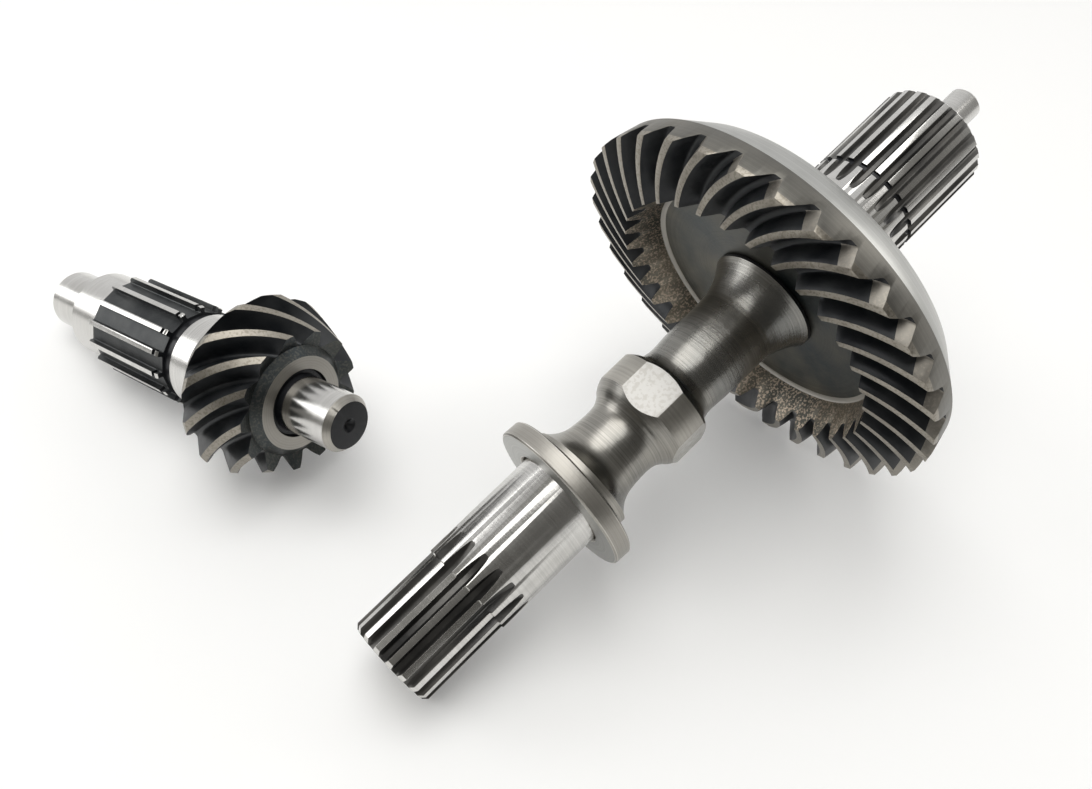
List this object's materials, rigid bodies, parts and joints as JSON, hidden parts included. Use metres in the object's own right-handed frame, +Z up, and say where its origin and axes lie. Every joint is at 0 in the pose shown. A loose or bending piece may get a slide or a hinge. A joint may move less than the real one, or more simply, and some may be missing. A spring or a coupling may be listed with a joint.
{
  "type": "bevel gear pair",
  "caption": "Spiral bevel crown gear on a long splined output shaft with a loose thrust washer, and its matching pinion shaft, lying side by side.",
  "frame": {"origin": "centre of the bounding box's bottom face: the flat surface that both shafts lie on is Z = 0", "axes": "+Z up; +X along the longest side of the pair as it lies, from the pinion's rear end towards the crown's rear end; +Y to the back of the view"},
  "size_m": [0.2924, 0.1576, 0.1171],
  "materials": {
    "shaft_steel": "ground journals, oily turned necks",
    "gear_steel": "dark case hardened, lapped tooth flanks",
    "washer_steel": "satin ground",
    "pinion_steel": "dark phosphated with ground seats"
  },
  "bodies": {
    "thrust_washer": {"thrust_washer": "washer_steel"},
    "crown_shaft": {"output_shaft": "shaft_steel", "crown_gear": "gear_steel"},
    "pinion": {"pinion_shaft": "pinion_steel"}
  },
  "joints": [
    {"name": "crown_spin", "type": "hinge", "parent": "thrust_washer", "child": "crown_shaft", "pos_m": [0.02517, -0.02955, 0.03367], "axis": [0.7026, 0.6247, 0.3407], "continuous": true},
    {"name": "pinion_spin", "type": "hinge", "parent": "thrust_washer", "child": "pinion", "pos_m": [-0.06453, 0.01336, 0.02727], "axis": [-0.7946, 0.5806, -0.1775], "continuous": true}
  ],
  "couplings": [
    {"joint": "pinion_spin", "follows": "crown_spin", "ratio": -2.5385}
  ]
}
